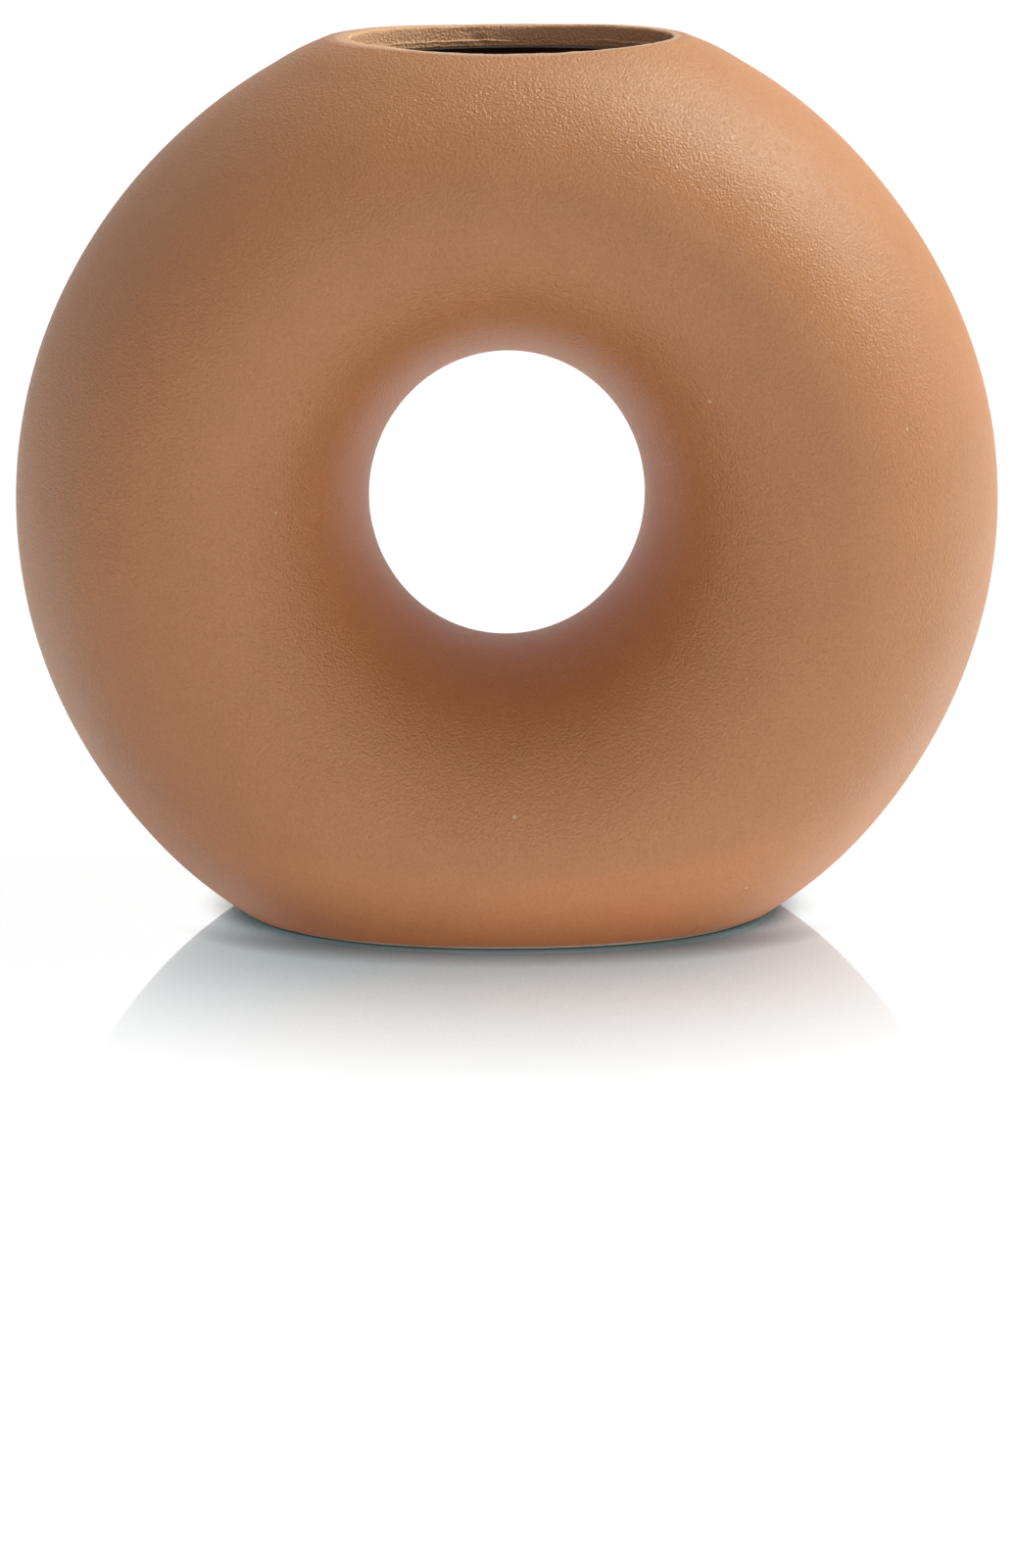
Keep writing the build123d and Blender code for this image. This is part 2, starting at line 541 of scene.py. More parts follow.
    def lip_courses(self) -> list[Place]:
        """List the courses over the lip and down to the bead.

        Returns:
            The functions that place each course's corners.
        """
        courses = [partial(self.on_ring, drop=drop) for drop in self.ring_drops]
        courses += [partial(self.on_land, share=share, drop=drop) for share, drop in self.land_steps]
        for step in range(self.lip_round_steps + 1):
            angle = step * pi / (2 * self.lip_round_steps)
            out, drop = self.lip_round * (1 - sin(angle)), self.lip_round * (1 - cos(angle))
            courses.append(partial(self.in_mouth, out=out, drop=drop, ripple=self.lip_ripple))
        courses += [self.on_wall(drop, self.wall_ripple) for drop in self.wall_drops]
        for step in range(1, self.bead_steps + 1):
            bead = self.bead * sin(step * pi / (self.bead_steps + 1)) ** self.bead_power
            drop = self.wall_drops[-1] + step * self.bead_spacing
            courses.append(self.on_wall(drop, self.bead_ripple, bead))
        return courses + [self.on_wall(drop, self.root_ripple) for drop in self.root_drops]

    def build(self, finish: "GlazeFinish") -> None:
        """Build and dress the glaze.

        Args:
            finish: The glaze's finish.
        """
        ring = RingMesh(self.form, 0.0, self.turns, self.ribs)
        ring.cut(Part.LIP, self.form.lip_height - self.form.lip_band)
        ring.grow(self.lip_courses())
        ring.cut(Part.FOOT, self.foot_cut)
        ring.grow([partial(self.at_foot, rise=rise, inward=inward) for rise, inward in self.foot_steps])
        piece = add_mesh("outer_glaze_skin", ring.finish(), finish.build())
        thicken(piece, self.thickness)
        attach(piece, "root")
        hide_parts("outer_glaze")
        tell(piece, self.thickness)


@dataclass(frozen=True)
class ClayBody:
    """The cast clay: the wall between the glazes, and the bare ring and recess of the foot."""

    form: RingForm
    inset: float = 0.00045
    wall: float = 0.0054
    turns: int = 240
    ribs: int = 80
    land_drops: tuple[float, ...] = (0.0036, 0.0024, 0.0014, 0.0008)
    mouth_steps: tuple[Span, ...] = ((0.00025, 0.0005), (0.0001, 0.0008), (0.0, 0.0016), (0.0, 0.0040))
    neck_drop: float = 0.0063
    foot_cut: float = 0.0030
    foot_steps: tuple[Span, ...] = (
        (0.0024, 0.0), (0.0018, 0.0), (0.0012, 0.0), (0.0008, 0.00002), (0.0005, 0.00006), (0.0003, 0.00016),
        (0.0001, 0.00036), (0.0, 0.0007), (0.0, 0.0030),
    )
    foot_ring: float = 0.0090
    recess_steps: tuple[Span, ...] = (
        (0.0, -0.0006), (0.0, 0.0), (0.0002, 0.0002), (0.0010, 0.0003), (0.0015, 0.0008), (0.0018, 0.0018),
    )
    disc_shares: tuple[float, ...] = (0.75, 0.5, 0.25, 0.06)
    hollow_turns: int = 160
    hollow_ribs: int = 64
    ledge_drop: float = 0.0004
    ledge_out: float = 0.0002
    floor: float = 0.0072
    floor_round: float = 0.0050
    floor_round_spread: float = 1.6
    floor_round_steps: int = 6

    def outside(self) -> RingMesh:
        """Build the face that the glaze covers, down the mouth's wall and under the foot.

        Returns:
            The face.
        """
        form, inset = self.form, self.inset
        ring = RingMesh(form, inset, self.turns, self.ribs)
        ring.cut(Part.LIP, form.lip_height - form.lip_band)
        levels = [form.lip_height - drop for drop in self.land_drops]
        ring.grow([partial(form.surface, height=height, inset=inset) for height in levels])
        steps = [*self.mouth_steps, (0.0, self.neck_drop)]
        ring.grow([partial(form.mouth, out=inset + out, drop=drop) for out, drop in steps])
        ring.cut(Part.FOOT, self.foot_cut)
        steps = [*self.foot_steps, *((height, self.foot_ring + past) for height, past in self.recess_steps)]
        courses = [partial(self.under, height=height, inward=inward) for height, inward in steps]
        ring.grow(courses + self.disc_courses(courses[-1]))
        ring.close()
        return ring

    def under(self, column: Column, height: float, inward: float) -> Vector:
        """Place a corner of the foot.

        Args:
            column: The corner's column.
            height: Its level.
            inward: How far in it lies from the ring's surface, or from the foot's edge once under the foot.

        Returns:
            The corner.
        """
        level = height if inward < self.foot_steps[-1][1] else 0.0
        corner = self.form.foot(column, level, self.inset, inward)
        return Vector((corner.x, corner.y, height))

    def disc_courses(self, rim: Place) -> list[Place]:
        """List the courses of a level disc, in from the rim that this function places."""
        return [partial(self.on_disc, rim=rim, share=share) for share in self.disc_shares]

    @staticmethod
    def on_disc(column: Column, rim: Place, share: float) -> Vector:
        """Place a corner of a level disc, this share of the way out from its middle to its rim."""
        edge = rim(column)
        return Vector((edge.x * share, edge.y * share, edge.z))

    def hollow(self, inset: float) -> RingMesh:
        """Build the face of the hollow, from the mouth's wall to the floor.

        Args:
            inset: How far the face lies inside the glaze.

        Returns:
            The face.
        """
        form, corner = self.form, self.floor_round
        ring = RingMesh(form, inset, self.hollow_turns, self.hollow_ribs)
        ledge = form.lip_height - self.neck_drop - self.ledge_drop
        ring.cut(Part.LIP, ledge)
        ring.grow([partial(form.mouth, out=self.inset + self.ledge_out, drop=form.lip_height - ledge)])
        depth = inset - self.inset - self.wall
        floor = self.floor + depth
        ring.cut(Part.FOOT, floor + corner)
        courses = []
        for step in range(1, self.floor_round_steps + 1):
            angle = step * pi / (2 * self.floor_round_steps)
            rise, inward = corner * (1 - sin(angle)), corner * (1 - cos(angle)) * self.floor_round_spread
            courses.append(partial(form.foot, height=floor + rise, inset=inset, inward=inward))
        rim = partial(form.foot, height=floor, inset=inset, inward=corner * self.floor_round_spread)
        ring.grow(courses + self.disc_courses(rim))
        ring.close()
        return ring

    def build(self, finish: "ClayFinish") -> None:
        """Build and dress the clay.

        Args:
            finish: The clay's finish.
        """
        clay = self.outside().finish()
        inside = self.hollow(self.inset + self.wall).finish(face_inward=True)
        lining = bpy.data.meshes.new("clay_inside")
        inside.to_mesh(lining)
        inside.free()
        clay.from_mesh(lining)
        bpy.data.meshes.remove(lining)
        bmesh.ops.bridge_loops(clay, edges=[edge for edge in clay.edges if edge.is_boundary])
        bmesh.ops.recalc_face_normals(clay, faces=clay.faces[:])
        for face in clay.faces:
            face.smooth = True
        piece = add_mesh("clay_body_cast", clay, finish.build())
        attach(piece, "root")
        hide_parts("clay_body")
        tell(piece, self.wall)


@dataclass(frozen=True)
class LinerGlaze:
    """The dark glaze poured through the hollow, up to the foot of the mouth's wall."""

    clay: ClayBody
    thickness: float = 0.0003

    def build(self, finish: "LinerFinish") -> None:
        """Build and dress the liner.

        Args:
            finish: The liner's finish.
        """
        sheet = self.clay.hollow(self.clay.inset + self.clay.wall + self.thickness)
        piece = add_mesh("liner_glaze_skin", sheet.finish(face_inward=True), finish.build())
        thicken(piece, self.thickness)
        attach(piece, "root")
        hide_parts("liner_glaze")
        tell(piece, self.thickness)


class NodeDesk:
    """Places and joins the nodes of one material, node group or world."""

    MIX_FIRST, MIX_SECOND, MIX_RESULT = 6, 7, 2

    def __init__(self, tree: NodeTree) -> None:
        """Start with an empty tree."""
        self.tree = tree
        tree.nodes.clear()

    def add(self, kind: str, feeds: Feeds | None = None, **settings: object) -> Node:
        """Add a node.

        Args:
            kind: The node's type.
            feeds: What its inputs are fed with, by name or number.
            settings: Values of its own settings, by name.

        Returns:
            The node.
        """
        node = self.tree.nodes.new(kind)
        for key, value in settings.items():
            setattr(node, key, value)
        for key, value in (feeds or {}).items():
            self.feed(node.inputs[key], value)
        return node

    def feed(self, socket: Socket, value: Linkable) -> None:
        """Feed an input.

        Args:
            socket: The input.
            value: The output to join it to, or a plain value.
        """
        if isinstance(value, Socket):
            self.tree.links.new(value, socket)
        else:
            socket.default_value = value

    def maths(self, operation: str, first: Linkable, second: Linkable = 0.0, clamp: bool = False) -> Socket:
        """Do one sum on two values, and if asked hold its result between 0 and 1."""
        node = self.add("ShaderNodeMath", {0: first, 1: second}, operation=operation, use_clamp=clamp)
        return node.outputs[0]

    def times(self, first: Linkable, second: Linkable) -> Socket:
        """Multiply two values."""
        return self.maths("MULTIPLY", first, second)

    def flip(self, value: Linkable) -> Socket:
        """Take a value from 1."""
        return self.maths("SUBTRACT", 1.0, value)

    def weigh(self, start: float, *terms: tuple[Linkable, float], clamp: bool = False) -> Socket:
        """Add up values by their weights.

        Args:
            start: What they are added to.
            terms: Each value and its weight.
            clamp: True to hold the sum between 0 and 1.

        Returns:
            The sum.
        """
        total = start
        for value, weight in terms:
            total = self.maths("ADD", total, self.times(value, weight), clamp)
        return total

    def rise(self, value: Linkable, span: Span) -> Socket:
        """Return a smooth 0 to 1 as a value goes through a span."""
        feeds = {"Value": value, "From Min": span[0], "From Max": span[1]}
        return self.add("ShaderNodeMapRange", feeds, interpolation_type="SMOOTHSTEP").outputs["Result"]

    def fall(self, value: Linkable, span: Span) -> Socket:
        """Return a smooth 1 to 0 as a value goes through a span."""
        return self.flip(self.rise(value, span))

    def blend(self, share: Linkable, first: Linkable, second: Linkable, kind: str = "MIX") -> Socket:
        """Mix two colours, with this share of the second."""
        feeds = {"Factor": share, self.MIX_FIRST: first, self.MIX_SECOND: second}
        return self.add("ShaderNodeMix", feeds, data_type="RGBA", blend_type=kind).outputs[self.MIX_RESULT]

    def coat(self, colour: Linkable, *coats: tuple[Linkable, float, Colour]) -> Socket:
        """Lay coats over a colour.

        Args:
            colour: The colour.
            coats: For each coat its mask, how well it covers, and its own colour.

        Returns:
            The colour that shows.
        """
        for mask, cover, other in coats:
            colour = self.blend(self.times(mask, cover), colour, other)
        return colour

    def grain(self, point: Linkable, scale: Linkable, detail: float = 2.0, rough: float = 0.6) -> Socket:
        """Return fractal noise with this many lumps to the metre."""
        feeds = {"Vector": point, "Scale": scale, "Detail": detail, "Roughness": rough}
        return self.add("ShaderNodeTexNoise", feeds).outputs["Fac"]

    def place(self) -> Socket:
        """Return the point's place in the part's frame."""
        return self.add("ShaderNodeTexCoord").outputs["Object"]

    def axes(self, point: Linkable) -> tuple[Socket, ...]:
        """Split a point or a colour into its three values."""
        return tuple(self.add("ShaderNodeSeparateXYZ", {0: point}).outputs)

    def stretch(self, point: Linkable, scale: tuple[float, float, float], height: float = 0.0) -> Socket:
        """Stretch space along its axes, and bring this level down to 0."""
        feeds = {"Vector": point, "Location": (0.0, 0.0, -height), "Scale": scale}
        return self.add("ShaderNodeMapping", feeds).outputs["Vector"]

    def length(self, point: Linkable) -> Socket:
        """Measure how far a point lies from the origin."""
        return self.add("ShaderNodeVectorMath", {0: point}, operation="LENGTH").outputs["Value"]

    def bump(self, height: Linkable, distance: float) -> Socket:
        """Turn a height into a normal, where a height of 1 stands this far out."""
        return self.add("ShaderNodeBump", {"Distance": distance, "Height": height}).outputs["Normal"]

    def group(self, tree: NodeTree, point: Linkable, **values: float) -> Node:
        """Place a node group, and set its inputs by their names in small letters."""
        feeds = {key.title(): value for key, value in values.items()}
        return self.add("ShaderNodeGroup", {"Point": point, **feeds}, node_tree=tree)

    def show(self, shader: Node, output: str = "ShaderNodeOutputMaterial") -> None:
        """Join a shader to the tree's output."""
        self.add(output, {"Surface": shader.outputs[0]})


def new_group(name: str, inputs: list[str], outputs: list[str]) -> tuple[NodeDesk, Node, Node]:
    """Start a shader node group that reads one point and some numbers.

    Args:
        name: The group's name.
        inputs: The names of its number inputs, after Point.
        outputs: The names of its number outputs.

    Returns:
        The desk, and the group's input and output nodes.
    """
    tree = bpy.data.node_groups.new(name, "ShaderNodeTree")
    tree.interface.new_socket(name="Point", in_out="INPUT", socket_type="NodeSocketVector")
    for way, keys in (("INPUT", inputs), ("OUTPUT", outputs)):
        for key in keys:
            tree.interface.new_socket(name=key, in_out=way, socket_type="NodeSocketFloat")
    desk = NodeDesk(tree)
    return desk, desk.add("NodeGroupInput"), desk.add("NodeGroupOutput")


@dataclass(frozen=True)
class Effects:
    """The effects that several finishes share, as node groups."""

    pebble: NodeTree
    drift: NodeTree
    specks: NodeTree

    LUMP_SHARE, PIT_SHARE = 0.65, 0.35
    PITS_PER_LUMP, PIT_SMOOTHNESS = 0.8, 0.6
    CREST_SPAN = (0.48, 0.66)
    WIDE_SHARE, CLOSE_SHARE = 0.6, 0.4
    CLOSE_PER_WIDE = 7.0
    TONE_SPAN = (0.36, 0.64)
    SPECK_EDGE = (0.0, 0.6)

    @classmethod
    def build(cls) -> "Effects":
        """Build every group once."""
        return cls(cls.pebble_group(), cls.drift_group(), cls.specks_group())

    @classmethod
    def pebble_group(cls) -> NodeTree:
        """Build the fine pebbled grain of fired clay and of the glaze that sinks into it.

        Returns:
            The group.
        """
        desk, given, out = new_group("fine_pebble", ["Lumps"], ["Height", "Crests"])
        point, lumps = given.outputs["Point"], given.outputs["Lumps"]
        lump = desk.grain(point, lumps, detail=1.5, rough=0.55)
        scale = desk.times(lumps, cls.PITS_PER_LUMP)
        feeds = {"Vector": point, "Scale": scale, "Smoothness": cls.PIT_SMOOTHNESS}
        pits = desk.flip(desk.add("ShaderNodeTexVoronoi", feeds, feature="SMOOTH_F1").outputs["Distance"])
        height = desk.weigh(0.0, (lump, cls.LUMP_SHARE), (pits, cls.PIT_SHARE))
        desk.feed(out.inputs["Height"], height)
        desk.feed(out.inputs["Crests"], desk.rise(height, cls.CREST_SPAN))
        return desk.tree

    @classmethod
    def drift_group(cls) -> NodeTree:
        """Build the slow drift of tone that a kiln's flame and the glaze's thickness leave.

        Returns:
            The group.
        """
        desk, given, out = new_group("kiln_drift", ["Clouds"], ["Tone"])
        point, clouds = given.outputs["Point"], given.outputs["Clouds"]
        wide = desk.grain(point, clouds, rough=0.5)
        close = desk.grain(point, desk.times(clouds, cls.CLOSE_PER_WIDE), detail=3.0)
        both = desk.weigh(0.0, (wide, cls.WIDE_SHARE), (close, cls.CLOSE_SHARE))
        desk.feed(out.inputs["Tone"], desk.rise(both, cls.TONE_SPAN))
        return desk.tree

    @classmethod
    def specks_group(cls) -> NodeTree:
        """Build the rare round specks of coarse sand under a glaze.

        Returns:
            The group.
        """
        desk, given, out = new_group("sand_specks", ["Cells", "Size", "Share"], ["Mask"])
        feeds = {"Vector": given.outputs["Point"], "Scale": given.outputs["Cells"]}
        cells = desk.add("ShaderNodeTexVoronoi", feeds, feature="F1")
        chosen = desk.maths("LESS_THAN", desk.axes(cells.outputs["Color"])[0], given.outputs["Share"])
        away = desk.maths("DIVIDE", cells.outputs["Distance"], given.outputs["Size"])
        near = desk.maths("SUBTRACT", 1.0, away, clamp=True)
        desk.feed(out.inputs["Mask"], desk.times(chosen, desk.rise(near, cls.SPECK_EDGE)))
        return desk.tree


def new_material(name: str) -> tuple[Material, NodeDesk]:
    """Start a material.

    Args:
        name: The material's name.

    Returns:
        The material and its desk.
    """
    material = bpy.data.materials.new(name)
    material.use_nodes = True
    return material, NodeDesk(material.node_tree)


@dataclass(frozen=True)
class GlazeFinish:
    """Satin tan glaze, pebbled by the sand under it, with painted shade in the ring's hole, painted light on
    the mouth's inner wall and a painted highlight along the mouth's edge.
    """

    effects: Effects
    light: Colour = (0.630, 0.250, 0.085, 1.0)
    deep: Colour = (0.505, 0.184, 0.054, 1.0)
    # Painted highlight along the mouth's edge, lighter than the glaze.
    lip_highlight: Colour = (0.850, 0.560, 0.370, 1.0)
    # Painted light on the mouth's inner wall, lighter and more orange than the glaze.
    thick: Colour = (0.900, 0.480, 0.260, 1.0)
    # Painted shade on the wall of the ring's hole, darker and warmer than the glaze.
    hole_shade: Colour = (0.590, 0.190, 0.045, 1.0)
    speck: Colour = (0.800, 0.600, 0.400, 1.0)
    clouds: float = 9.0
    cloud_weight: float = 0.35
    sand: float = 1250.0
    sand_span: Span = (0.30, 0.70)
    sand_weight: float = 0.45
    band_weight: float = 0.22
    hole_shade_cover: float = 0.70
    lip_highlight_cover: float = 0.55
    mouth_wall_light_cover: float = 0.85
    speck_cells: float = 95.0
    speck_size: float = 0.06
    speck_chosen: float = 0.12
    speck_cover: float = 0.7
    ior: float = 1.56
    roughness: float = 0.270
    patches: float = 420.0
    patch_roughness: float = 0.08
    band_roughness: float = 0.06
    hole_roughness: float = 0.18
    neck_roughness: float = 0.08
    bump_height: float = 0.00046
    lumps: float = 1500.0
    band_smoothing: float = 0.60
    streak_scale: tuple[float, float, float] = (900.0, 900.0, 130.0)
    streak_height: float = 0.30
    streak_levels: Span = (0.020, 0.060)
    crisp_lumps: float = 2400.0
    crisp_height: float = 0.34
    neck_scale: tuple[float, float, float] = (1 / 0.0448, 1 / 0.0330, 0.0)
    neck_levels: Span = (0.200, 0.220)
    neck_edge: Span = (1.00, 1.02)
    lip_edge: Span = (1.02, 1.07)
    hole_height: float = 0.1165
    hole_reach: Span = (0.038, 0.060)
    hole_depths: Span = (0.016, 0.046)
    band_bow: float = 1.85
    band_edge: Span = (0.0190, 0.0255)

    def build(self) -> Material:
        """Build the material.

        Returns:
            The material.
        """
        material, desk = new_material("satin_tan_glaze")
        point = desk.place()
        _, depth, level = desk.axes(point)
        band = self.smooth_band(desk, point)
        neck, lip = self.neck(desk, point)

        drift = desk.group(self.effects.drift, point, clouds=self.clouds).outputs["Tone"]
        sand = desk.rise(desk.grain(point, self.sand), self.sand_span)
        specks = desk.group(
            self.effects.specks, point, cells=self.speck_cells, size=self.speck_size, share=self.speck_chosen,
        ).outputs["Mask"]
        tones = (drift, self.cloud_weight), (sand, self.sand_weight), (band, self.band_weight)
        # Painted shade darkens the hole's wall, a painted highlight lightens the mouth's edge and painted
        # light lightens the mouth's inner wall.
        colour = desk.coat(
            desk.blend(desk.weigh(0.0, *tones, clamp=True), self.deep, self.light),
            (self.hole(desk, point), self.hole_shade_cover, self.hole_shade), (lip, self.lip_highlight_cover, self.lip_highlight),
            (neck, self.mouth_wall_light_cover, self.thick), (specks, self.speck_cover, self.speck),
        )

        patches = desk.grain(point, self.patches, detail=3.0)
        by_hole = desk.fall(desk.maths("ABSOLUTE", depth), self.hole_depths)
        rough = desk.weigh(
            self.roughness, (patches, self.patch_roughness), (band, self.band_roughness),
            (by_hole, self.hole_roughness), (neck, self.neck_roughness),
        )

        pebbles = desk.group(self.effects.pebble, point, lumps=self.lumps).outputs["Height"]
        pebbles = desk.times(pebbles, desk.flip(desk.times(band, self.band_smoothing)))
        streaks = desk.grain(desk.stretch(point, self.streak_scale), 1.0)
        streaks = desk.times(streaks, desk.times(desk.fall(level, self.streak_levels), self.streak_height))
        crisp = desk.times(desk.grain(point, self.crisp_lumps), self.crisp_height)
        height = desk.maths("ADD", desk.maths("ADD", pebbles, streaks), crisp)

        normal = desk.bump(height, self.bump_height)
        feeds = {"Base Color": colour, "Roughness": rough, "Normal": normal, "IOR": self.ior}
        desk.show(desk.add("ShaderNodeBsdfPrincipled", feeds))
        return material

    def neck(self, desk: NodeDesk, point: Socket) -> tuple[Socket, Socket]:
        """Mask the mouth's wall, which takes painted light, and its edge, which takes a painted highlight.

        Args:
            desk: The material's desk.
            point: The point.

        Returns:
            The mask of the wall and the mask of the edge.
        """
        spread = desk.length(desk.stretch(point, self.neck_scale))
        upper = desk.rise(desk.axes(point)[2], self.neck_levels)
        wall = desk.fall(spread, self.neck_edge)
        edge = desk.maths("SUBTRACT", desk.fall(spread, self.lip_edge), wall, clamp=True)
        return desk.times(wall, upper), desk.times(edge, upper)

    def hole(self, desk: NodeDesk, point: Socket) -> Socket:
        """Mask the wall of the ring's hole, which is painted darker and warmer as shade."""
        flat = desk.stretch(point, (1.0, 0.0, 1.0), self.hole_height)
        return desk.fall(desk.length(flat), self.hole_reach)

    def smooth_band(self, desk: NodeDesk, point: Socket) -> Socket:
        """Mask the smoother crescent that a sponge left round the base.

        Args:
            desk: The material's desk.
            point: The point.

        Returns:
            The mask.
        """
        across, _, level = desk.axes(point)
        bow = desk.times(desk.times(across, across), self.band_bow)
        return desk.fall(desk.maths("SUBTRACT", level, bow), self.band_edge)


@dataclass(frozen=True)
class ClayFinish:
    """Bare fired clay, pale, dry and a little gritty, rubbed smoother where it stands."""

    effects: Effects
    pale: Colour = (0.800, 0.770, 0.680, 1.0)
    toasted: Colour = (0.690, 0.630, 0.520, 1.0)
    grit: Colour = (0.160, 0.110, 0.070, 1.0)
    clouds: float = 30.0
    toasted_cover: float = 0.6
    grit_cells: float = 420.0
    grit_size: float = 0.22
    grit_chosen: float = 0.10
    grit_cover: float = 0.8
    rubbed_levels: Span = (0.00002, 0.0004)
    rubbed_cover: float = 0.3
    roughness: float = 0.80
    crest_roughness: float = 0.12
    rubbed_roughness: float = -0.18
    lumps: float = 1500.0
    bump_height: float = 0.00012

    def build(self) -> Material:
        """Build the material.

        Returns:
            The material.
        """
        material, desk = new_material("bare_fired_clay")
        point = desk.place()
        grain = desk.group(self.effects.pebble, point, lumps=self.lumps).outputs
        drift = desk.group(self.effects.drift, point, clouds=self.clouds).outputs["Tone"]
        specks = desk.group(
            self.effects.specks, point, cells=self.grit_cells, size=self.grit_size, share=self.grit_chosen,
        ).outputs["Mask"]
        rubbed = desk.fall(desk.axes(point)[2], self.rubbed_levels)
        colour = desk.coat(
            self.pale, (drift, self.toasted_cover, self.toasted), (specks, self.grit_cover, self.grit),
            (rubbed, self.rubbed_cover, self.grit),
        )
        roughness = (grain["Crests"], self.crest_roughness), (rubbed, self.rubbed_roughness)
        rough = desk.weigh(self.roughness, *roughness)
        normal = desk.bump(grain["Height"], self.bump_height)
        feeds = {"Base Color": colour, "Roughness": rough, "Normal": normal}
        desk.show(desk.add("ShaderNodeBsdfPrincipled", feeds))
        return material


@dataclass(frozen=True)
class LinerFinish:
    """Dark brown liner glaze, smooth and half glossy, with painted shade that darkens it towards the bottom
    of the hollow.
    """

    effects: Effects
    thin: Colour = (0.210, 0.105, 0.058, 1.0)
    # Painted shade: the near-black colour towards the bottom of the hollow.
    bottom_shade: Colour = (0.060, 0.034, 0.022, 1.0)
    clouds: float = 24.0
    cloud_weight: float = 0.6
    bottom_shade_weight: float = 0.5
    bottom_shade_levels: Span = (0.010, 0.060)
    roughness: float = 0.36
    cloud_roughness: float = 0.14
    lumps: float = 420.0
    bump_height: float = 0.00010

    def build(self) -> Material:
        """Build the material.

        Returns:
            The material.
        """
        material, desk = new_material("brown_liner_glaze")
        point = desk.place()
        drift = desk.group(self.effects.drift, point, clouds=self.clouds).outputs["Tone"]
        # Painted shade, darker towards the bottom of the hollow.
        bottom_shade_mask = desk.fall(desk.axes(point)[2], self.bottom_shade_levels)
        share = desk.weigh(0.0, (drift, self.cloud_weight), (bottom_shade_mask, self.bottom_shade_weight), clamp=True)
        colour = desk.blend(share, self.thin, self.bottom_shade)
        rough = desk.weigh(self.roughness, (drift, self.cloud_roughness))
        grain = desk.group(self.effects.pebble, point, lumps=self.lumps).outputs["Height"]
        feeds = {"Base Color": colour, "Roughness": rough, "Normal": desk.bump(grain, self.bump_height)}
        desk.show(desk.add("ShaderNodeBsdfPrincipled", feeds))
        return material


def hang(data: bpy.types.ID, target: Vector, way: Vector, distance: float) -> Object:
    """Hang a lamp or a camera and aim it.

    Args:
        data: Its data.
        target: The point that it is aimed at.
        way: The direction in which it lies from there, 1 long.
        distance: How far it lies from there.

    Returns:
        The lamp or camera.
    """
    item = bpy.data.objects.new(data.name, data)
    item.location = target + way * distance
    item.rotation_mode = "QUATERNION"
    item.rotation_quaternion = (-way).to_track_quat("-Z", "Y")
    bpy.context.scene.collection.objects.link(item)
    return item


@dataclass(frozen=True)
class Lamp:
    """One soft box, aimed at the vase."""

    role: LampRole
    direction: tuple[float, float, float]
    distance: float
    width: float
    height: float
    power: float
    tint: tuple[float, float, float] = (1.0, 1.0, 1.0)

    def build(self, target: Vector) -> None:
        """Hang the lamp and aim it.

        Args:
            target: The point that it is aimed at.
        """
        data = bpy.data.lights.new(self.role.value, "AREA")
        data.shape, data.size, data.size_y = "RECTANGLE", self.width, self.height
        data.energy, data.color = self.power, self.tint
        hang(data, target, Vector(self.direction).normalized(), self.distance)


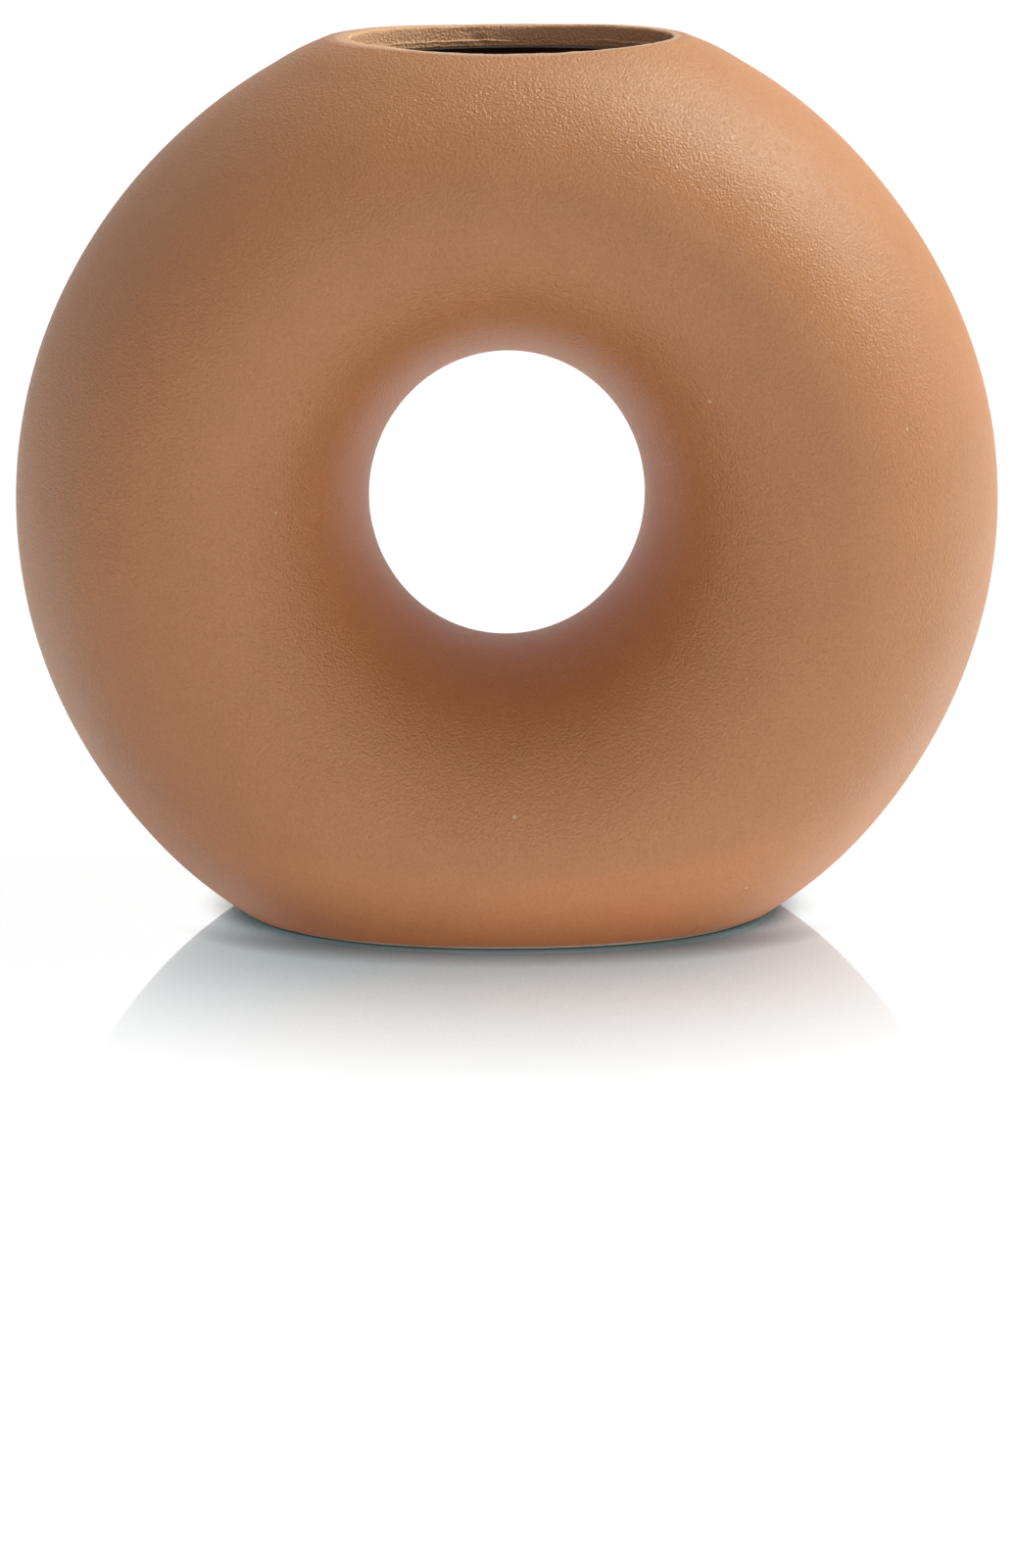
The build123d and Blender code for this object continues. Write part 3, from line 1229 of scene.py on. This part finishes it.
@dataclass(frozen=True)
class TableTop:
    """The glossy white table top, whose mirror image of the vase fades with distance."""

    half_size: float = 12.0
    mirror: float = 0.93
    mirror_tint: Colour = (1.0, 0.80, 0.75, 1.0)
    mirror_blur: float = 0.035
    mirror_reach: Span = (0.040, 0.206)
    glow: float = 1.10
    bounce: Colour = (0.88, 0.88, 0.88, 1.0)
    corner_reach: float = 0.015
    corner_samples: int = 8
    corner_power: float = 0.85
    corner_side: Span = (0.018, 0.046)
    tight_corner: Span = (0.02, 0.36)
    contact_shadow: Colour = (0.20, 0.20, 0.20, 1.0)
    contact_shadow_cover: float = 0.60
    shaded: float = 0.12
    shaded_reach: Span = (0.40, 1.20)

    def build(self) -> None:
        """Lay the table top."""
        mesh = bmesh.new()
        bmesh.ops.create_grid(mesh, x_segments=2, y_segments=2, size=self.half_size)
        floor = add_mesh("table_top", mesh, self.dress())

    def open_sky(self, desk: NodeDesk) -> Socket:
        """Say how open the table lies: 0 in the corner under the vase's edge, and mostly 1.

        Args:
            desk: The material's desk.

        Returns:
            The openness.
        """
        reach = {"Distance": self.corner_reach}
        corner = desk.add("ShaderNodeAmbientOcclusion", reach, samples=self.corner_samples).outputs["AO"]
        in_front = desk.rise(desk.times(desk.axes(desk.place())[1], -1.0), self.corner_side)
        hidden = desk.flip(desk.maths("POWER", corner, self.corner_power))
        tight = desk.fall(corner, self.tight_corner)
        return desk.flip(desk.maths("MAXIMUM", desk.times(hidden, in_front), tight))

    def dress(self) -> Material:
        """Build the material: white that shows the vase's shade, with a mirror image greyed by its tint.

        Returns:
            The material.
        """
        material, desk = new_material("white_table")
        rays = desk.add("ShaderNodeLightPath").outputs
        shown = desk.maths("MAXIMUM", rays["Is Camera Ray"], rays["Is Transmission Ray"])
        lit = desk.maths("MAXIMUM", shown, rays["Is Glossy Ray"])
        away = desk.length(desk.place())
        share = desk.times(desk.times(desk.fall(away, self.mirror_reach), self.mirror), shown)
        mirrored = desk.blend(share, BLACK, self.mirror_tint)
        rest = desk.blend(1.0, WHITE, mirrored, "SUBTRACT")
        shade = desk.times(desk.fall(away, self.shaded_reach), self.shaded)
        open_sky = self.open_sky(desk)
        # Painted contact shadow: where the table lies hidden under the vase's edge, its glow greys and dims
        # and its mirror image darkens.
        greyed = desk.coat(rest, (desk.flip(open_sky), self.contact_shadow_cover, self.contact_shadow))
        matt_colour = desk.blend(shown, self.bounce, desk.blend(shade, BLACK, rest))
        glow_colour = desk.blend(shade, greyed, BLACK)
        strength = desk.times(desk.times(lit, open_sky), self.glow)
        gloss_colour = desk.blend(open_sky, BLACK, mirrored)
        gloss = desk.add("ShaderNodeBsdfGlossy", {"Color": gloss_colour, "Roughness": self.mirror_blur})
        matt = desk.add("ShaderNodeBsdfDiffuse", {"Color": matt_colour})
        glow = desk.add("ShaderNodeEmission", {"Color": glow_colour, "Strength": strength})
        both = desk.add("ShaderNodeAddShader", {0: gloss.outputs[0], 1: matt.outputs[0]})
        desk.show(desk.add("ShaderNodeAddShader", {0: both.outputs[0], 1: glow.outputs[0]}))
        return material


@dataclass(frozen=True)
class Studio:
    """The white table, the soft light round it and the camera of the photograph."""

    target: tuple[float, float, float] = (0.0, 0.0, 0.1159)
    distance: float = 1.755
    rise: float = 11.2
    turn: float = -1.0
    frame_height: int = 1600
    aim_row: float = 506.0
    aside: float = -0.0001
    pixel: float = 0.00027
    sensor: float = 36.0
    clip: Span = (0.05, 60.0)
    around: float = 0.15
    lamps: tuple[Lamp, ...] = (
        Lamp(LampRole.KEY, (0.62, 0.03, 0.78), 1.1, 0.13, 0.95, power=11.2, tint=(0.88, 1.0, 0.97)),
        Lamp(LampRole.SIDE, (1.0, -0.15, 0.16), 1.4, 1.0, 1.0, power=1.7, tint=(0.88, 1.0, 0.92)),
        Lamp(LampRole.FRONT, (0.25, -0.95, 0.22), 1.6, 1.0, 1.0, power=2.2),
        Lamp(LampRole.LOW, (0.3, -1.0, 0.0), 1.6, 1.2, 0.5, power=4.2, tint=(1.0, 0.82, 0.70)),
        Lamp(LampRole.FILL, (-0.8, -0.7, -0.02), 1.5, 1.0, 0.22, power=1.1, tint=(1.0, 0.90, 0.82)),
    )

    def build_camera(self) -> None:
        """Set the camera at the photograph's height, distance and framing."""
        data = bpy.data.cameras.new("photo_camera")
        data.sensor_width = self.sensor
        data.lens = data.sensor_width * self.distance / self.pixel / self.frame_height
        data.shift_y = (self.aim_row - self.frame_height / 2) / self.frame_height
        data.shift_x = self.aside
        data.clip_start, data.clip_end = self.clip
        rise, turn = radians(self.rise), radians(self.turn)
        back = Vector((sin(turn) * cos(rise), -cos(turn) * cos(rise), sin(rise)))
        bpy.context.scene.camera = hang(data, Vector(self.target), back, self.distance)

    def build_world(self) -> None:
        """Surround the table with an even white tent, which lights the vase less than it shows."""
        world = bpy.data.worlds.new("white_tent")
        world.use_nodes = True
        desk = NodeDesk(world.node_tree)
        rays = desk.add("ShaderNodeLightPath").outputs
        seen = desk.maths("MAXIMUM", rays["Is Camera Ray"], rays["Is Glossy Ray"])
        seen = desk.maths("MAXIMUM", seen, rays["Is Transmission Ray"])
        strength = desk.weigh(self.around, (seen, 1.0 - self.around))
        tent = desk.add("ShaderNodeBackground", {"Color": WHITE, "Strength": strength})
        desk.show(tent, "ShaderNodeOutputWorld")
        bpy.context.scene.world = world

    def build(self) -> None:
        """Build the whole studio."""
        for lamp in self.lamps:
            lamp.build(Vector(self.target))
        self.build_world()
        TableTop().build()
        self.build_camera()
        bpy.context.scene.view_settings.view_transform = "Standard"
        log.info("studio: camera %.2f m away, %.1f degrees up", self.distance, self.rise)


def main() -> None:
    """Build the vase and its studio."""
    logging.basicConfig(level=logging.INFO, format="%(message)s")
    noise.seed_set(NOISE_SEED)
    effects = Effects.build()
    form = RingForm()
    clay = ClayBody(form)
    OuterGlaze(form).build(GlazeFinish(effects))
    clay.build(ClayFinish(effects))
    LinerGlaze(clay).build(LinerFinish(effects))
    Studio().build()


if __name__ == "__main__":
    main()
